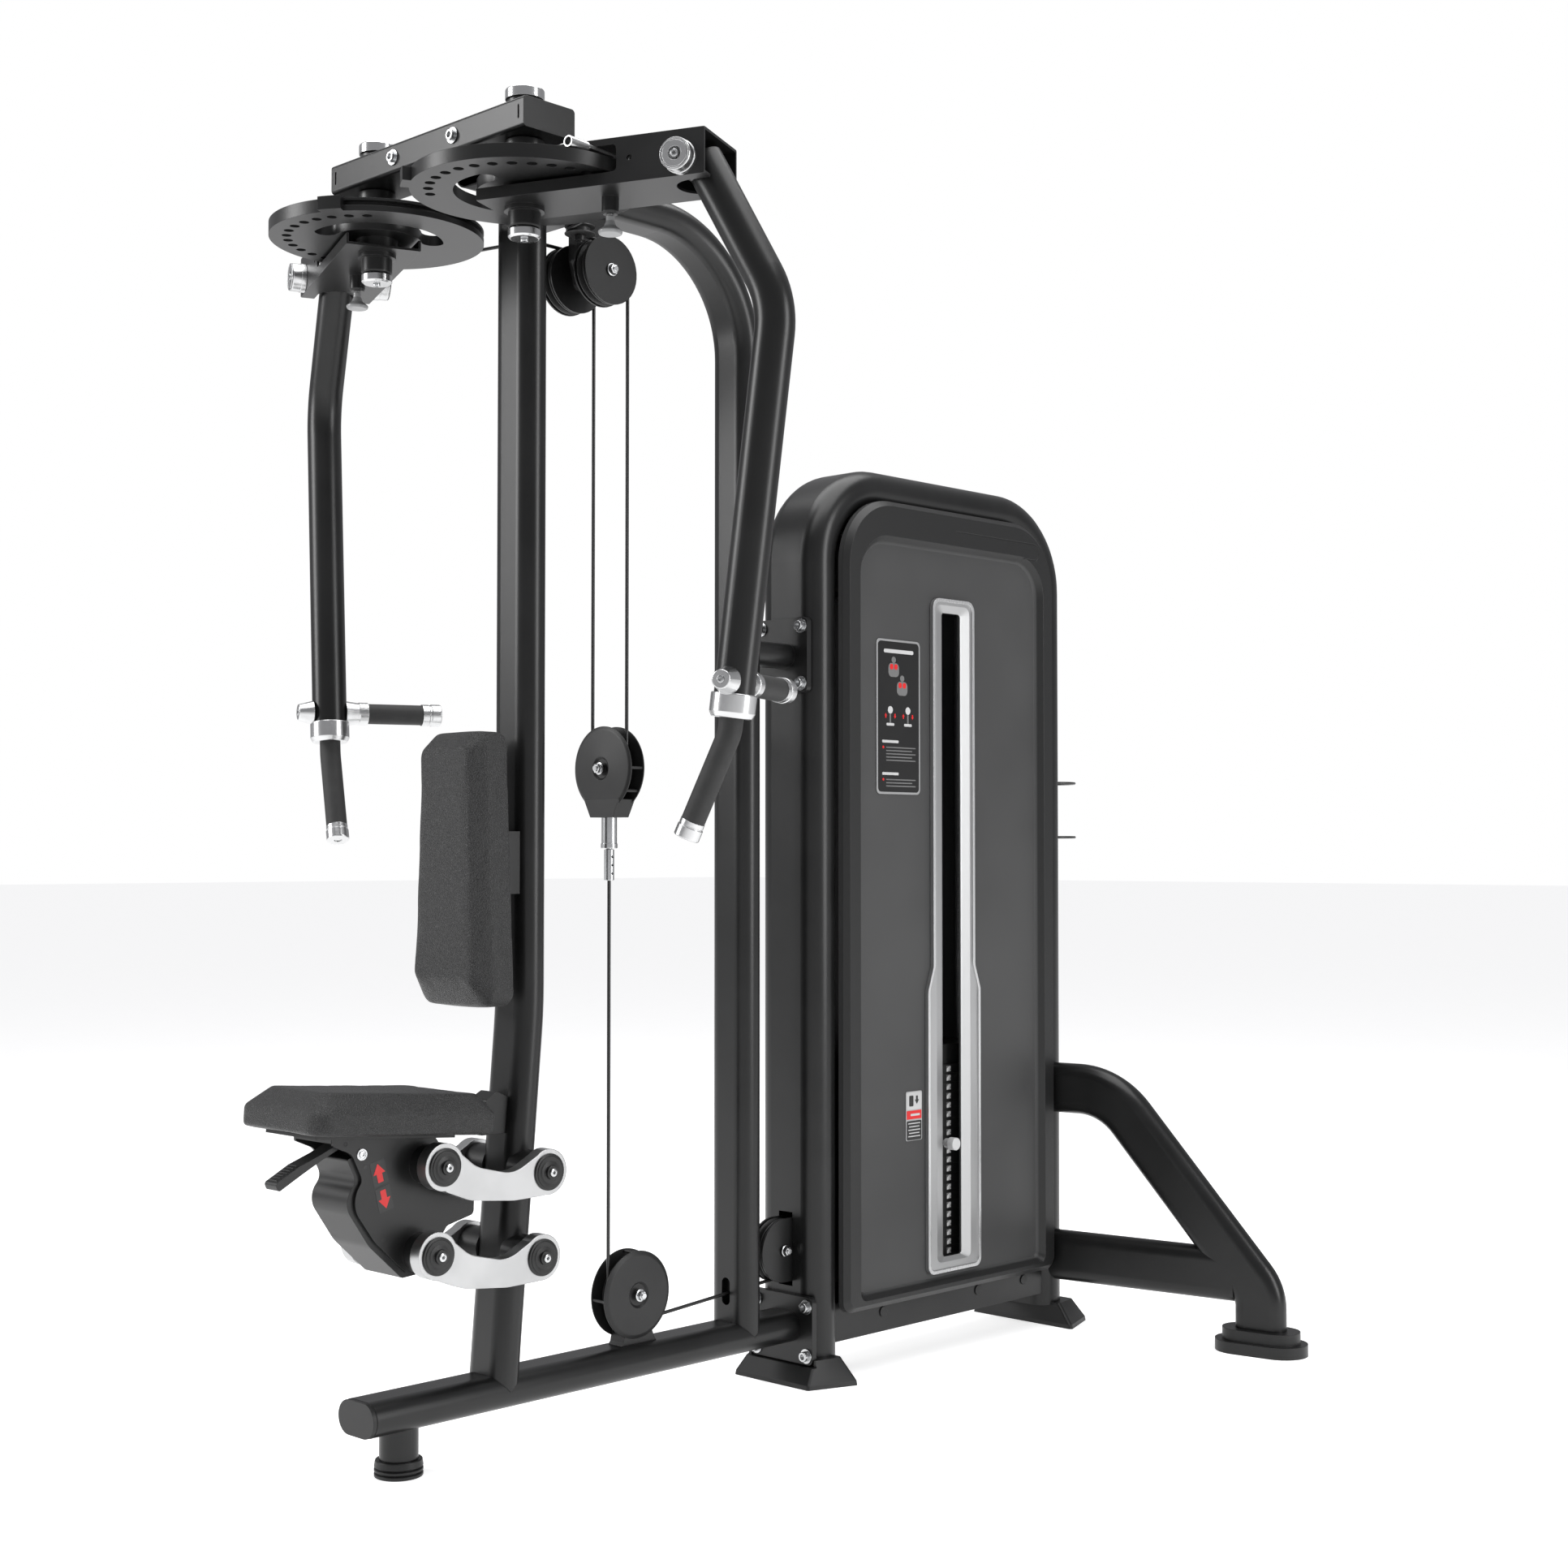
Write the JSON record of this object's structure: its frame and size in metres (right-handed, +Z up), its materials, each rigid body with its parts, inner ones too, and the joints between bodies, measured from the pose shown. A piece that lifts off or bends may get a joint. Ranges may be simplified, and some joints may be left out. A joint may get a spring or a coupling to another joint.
{
  "type": "pec deck machine",
  "caption": "Selectorised chest-fly and rear-deltoid machine: hanging arms on overhead cams, adjustable seat, back pad, cable drive and a shrouded weight tower on splayed struts.",
  "frame": {"origin": "on the floor under the front foot, on the mirror plane of the frame", "axes": "+Z up, +X to the left of the seated user, +Y from the seat towards the weight tower"},
  "size_m": [1.1984, 1.9511, 2.113],
  "materials": {
    "frame_black": "satin textured powder coat",
    "plate_black": "satin powder coat",
    "panel_grey": "fine matt grain",
    "silver_trim": "fine brushed, clear anodised",
    "foot_rubber": "matt moulded",
    "cap_plastic": "satin moulded",
    "zinc_bolt": "bright plated",
    "chrome_rod": "polished",
    "stack_steel": "low gloss paint",
    "polished_alu": "polished",
    "pulley_nylon": "smooth nylon",
    "cable_black": "smooth sheath",
    "grip_rubber": "fine matt texture",
    "pad_vinyl": "grained upholstery vinyl",
    "wire_black": "satin",
    "pin_grey": "smooth",
    "lever_plastic": "ribbed satin"
  },
  "bodies": {
    "frame": {"floor_beam": "frame_black", "front_column": "frame_black", "rear_column": "frame_black", "crossbeam": "frame_black", "frame_bolts": "zinc_bolt", "tower_links": "frame_black", "tower_frame": "frame_black", "end_plugs": "cap_plastic", "floor_feet": "foot_rubber", "side_struts": "frame_black", "side_panel_left": "panel_grey", "side_panel_right": "panel_grey", "panel_trim": "silver_trim", "bottle_holder": "wire_black", "guide_rods": "chrome_rod", "stack_cushions": "foot_rubber", "resting_plates": "stack_steel", "pivot_shafts": "polished_alu", "wheel_brackets": "plate_black", "base_pulley_guard": "cap_plastic", "drive_cables": "cable_black", "arm_cable_falls": "cable_black", "float_cable": "cable_black", "stack_fall": "cable_black", "back_pad": "pad_vinyl", "column_brackets": "plate_black"},
    "cam_left": {"cam_left": "plate_black"},
    "carrier_left": {"carrier_left": "plate_black"},
    "plunger_left": {"plunger_left": "zinc_bolt"},
    "release_lever_left": {"release_lever_left": "polished_alu"},
    "arm_left": {"arm_tube_left": "frame_black", "arm_metal_left": "polished_alu", "hand_grips_left": "grip_rubber"},
    "guide_wheel_left": {"guide_wheel_left": "pulley_nylon"},
    "cam_right": {"cam_right": "plate_black"},
    "carrier_right": {"carrier_right": "plate_black"},
    "plunger_right": {"plunger_right": "zinc_bolt"},
    "release_lever_right": {"release_lever_right": "polished_alu"},
    "arm_right": {"arm_tube_right": "frame_black", "arm_metal_right": "polished_alu", "hand_grips_right": "grip_rubber"},
    "guide_wheel_right": {"guide_wheel_right": "pulley_nylon"},
    "top_wheels": {"top_wheels": "pulley_nylon"},
    "float_wheel": {"float_wheel": "pulley_nylon"},
    "base_wheel": {"base_wheel": "pulley_nylon"},
    "low_tower_wheel": {"low_tower_wheel": "pulley_nylon"},
    "head_tower_wheel": {"head_tower_wheel": "pulley_nylon"},
    "stack_wheel": {"stack_wheel": "pulley_nylon"},
    "float": {"float_block": "cap_plastic", "turnbuckle": "chrome_rod", "arm_cable_bend": "cable_black"},
    "stack": {"lifted_plates": "stack_steel", "stack_head": "stack_steel"},
    "selector": {"selector_pin": "pin_grey"},
    "upper_links": {"upper_links": "polished_alu"},
    "lower_links": {"lower_links": "polished_alu"},
    "seat_carriage": {"seat_chassis": "plate_black", "seat_fairing": "cap_plastic", "seat_pad": "pad_vinyl"},
    "seat_lever": {"seat_lever": "lever_plastic"}
  },
  "joints": [
    {"name": "cam_left_turn", "type": "hinge", "parent": "frame", "child": "cam_left", "pos_m": [0.19, 0.09, 1.957], "axis": [0, 0, 1], "range_deg": [-90, 0]},
    {"name": "carrier_left_turn", "type": "hinge", "parent": "cam_left", "child": "carrier_left", "pos_m": [0.19, 0.09, 1.957], "axis": [0, 0, 1], "range_deg": [-23, 11.5]},
    {"name": "arm_left_swing", "type": "hinge", "parent": "carrier_left", "child": "arm_left", "pos_m": [0.457, 0.2006, 1.957], "axis": [0.3827, -0.9239, 0], "range_deg": [0, 12]},
    {"name": "plunger_left_pull", "type": "slide", "parent": "carrier_left", "child": "plunger_left", "axis": [0, 0, -1], "range_m": [0, 0.012], "stiffness_N_per_m": 1200, "springref_m": -0.01},
    {"name": "release_lever_left_turn", "type": "hinge", "parent": "carrier_left", "child": "release_lever_left", "pos_m": [0.33938, 0.16053, 1.985], "axis": [0, 0, 1], "range_deg": [-12, 0], "stiffness_Nm_per_rad": 0.6, "springref_deg": 8.59},
    {"name": "guide_wheel_left_turn", "type": "hinge", "parent": "frame", "child": "guide_wheel_left", "pos_m": [0.063, 0.31, 1.968], "axis": [0, 0, 1], "range_deg": [0, 744]},
    {"name": "cam_right_turn", "type": "hinge", "parent": "frame", "child": "cam_right", "pos_m": [-0.19, 0.09, 1.957], "axis": [0, 0, 1], "range_deg": [0, 90]},
    {"name": "carrier_right_turn", "type": "hinge", "parent": "cam_right", "child": "carrier_right", "pos_m": [-0.19, 0.09, 1.957], "axis": [0, 0, 1], "range_deg": [-11.5, 23]},
    {"name": "arm_right_swing", "type": "hinge", "parent": "carrier_right", "child": "arm_right", "pos_m": [-0.457, 0.2006, 1.957], "axis": [0.3827, 0.9239, 0], "range_deg": [0, 12]},
    {"name": "plunger_right_pull", "type": "slide", "parent": "carrier_right", "child": "plunger_right", "axis": [0, 0, -1], "range_m": [0, 0.012], "stiffness_N_per_m": 1200, "springref_m": -0.01},
    {"name": "release_lever_right_turn", "type": "hinge", "parent": "carrier_right", "child": "release_lever_right", "pos_m": [-0.33938, 0.16053, 1.985], "axis": [0, 0, 1], "range_deg": [0, 12], "stiffness_Nm_per_rad": 0.6, "springref_deg": -8.59},
    {"name": "guide_wheel_right_turn", "type": "hinge", "parent": "frame", "child": "guide_wheel_right", "pos_m": [-0.063, 0.31, 1.968], "axis": [0, 0, 1], "range_deg": [-744, 0]},
    {"name": "top_wheels_turn", "type": "hinge", "parent": "frame", "child": "top_wheels", "pos_m": [0, 0.383, 1.918], "axis": [1, 0, 0], "range_deg": [0, 298]},
    {"name": "base_wheel_turn", "type": "hinge", "parent": "frame", "child": "base_wheel", "pos_m": [0, 0.483, 0.208], "axis": [1, 0, 0], "range_deg": [-298, 0]},
    {"name": "low_tower_wheel_turn", "type": "hinge", "parent": "frame", "child": "low_tower_wheel", "pos_m": [0, 0.841, 0.235], "axis": [1, 0, 0], "range_deg": [-298, 0]},
    {"name": "head_tower_wheel_turn", "type": "hinge", "parent": "frame", "child": "head_tower_wheel", "pos_m": [0, 0.941, 1.5], "axis": [1, 0, 0], "range_deg": [0, 298]},
    {"name": "stack_wheel_turn", "type": "hinge", "parent": "frame", "child": "stack_wheel", "pos_m": [0, 1.185, 1.5], "axis": [1, 0, 0], "range_deg": [0, 298]},
    {"name": "float_lift", "type": "slide", "parent": "frame", "child": "float", "axis": [0, 0, 1], "range_m": [0, 0.262], "deforming": ["arm_cable_falls", "float_cable"]},
    {"name": "stack_lift", "type": "slide", "parent": "frame", "child": "stack", "axis": [0, 0, 1], "range_m": [0, 0.262], "deforming": ["stack_fall"]},
    {"name": "float_wheel_turn", "type": "hinge", "parent": "float", "child": "float_wheel", "pos_m": [0, 0.433, 1.092], "axis": [0, 1, 0], "continuous": true},
    {"name": "selector_pull", "type": "slide", "parent": "stack", "child": "selector", "axis": [1, 0, 0], "range_m": [0, 0.1]},
    {"name": "upper_links_turn", "type": "hinge", "parent": "frame", "child": "upper_links", "pos_m": [0, 0.22, 0.449], "axis": [1, 0, 0], "range_deg": [-12, 26]},
    {"name": "lower_links_turn", "type": "hinge", "parent": "frame", "child": "lower_links", "pos_m": [0, 0.208, 0.317], "axis": [1, 0, 0], "range_deg": [-12, 26]},
    {"name": "seat_carriage_turn", "type": "hinge", "parent": "upper_links", "child": "seat_carriage", "pos_m": [0, 0.017, 0.477], "axis": [1, 0, 0], "range_deg": [-26, 12]},
    {"name": "seat_lever_lift", "type": "hinge", "parent": "seat_carriage", "child": "seat_lever", "pos_m": [0, -0.128, 0.521], "axis": [-1, 0, 0], "range_deg": [0, 12], "stiffness_Nm_per_rad": 1, "springref_deg": -8.59}
  ],
  "couplings": [
    {"joint": "cam_right_turn", "follows": "cam_left_turn", "ratio": -1},
    {"joint": "guide_wheel_left_turn", "follows": "cam_left_turn", "ratio": -8.2575},
    {"joint": "guide_wheel_right_turn", "follows": "cam_left_turn", "ratio": 8.2575},
    {"joint": "top_wheels_turn", "follows": "cam_left_turn", "ratio": -3.303},
    {"joint": "base_wheel_turn", "follows": "cam_left_turn", "ratio": 3.303},
    {"joint": "low_tower_wheel_turn", "follows": "cam_left_turn", "ratio": 3.303},
    {"joint": "head_tower_wheel_turn", "follows": "cam_left_turn", "ratio": -3.303},
    {"joint": "stack_wheel_turn", "follows": "cam_left_turn", "ratio": -3.303},
    {"joint": "float_lift", "follows": "cam_left_turn", "m_per_rad": -0.16515},
    {"joint": "stack_lift", "follows": "cam_left_turn", "m_per_rad": -0.16515},
    {"joint": "lower_links_turn", "follows": "upper_links_turn", "ratio": 1},
    {"joint": "seat_carriage_turn", "follows": "upper_links_turn", "ratio": -1}
  ]
}
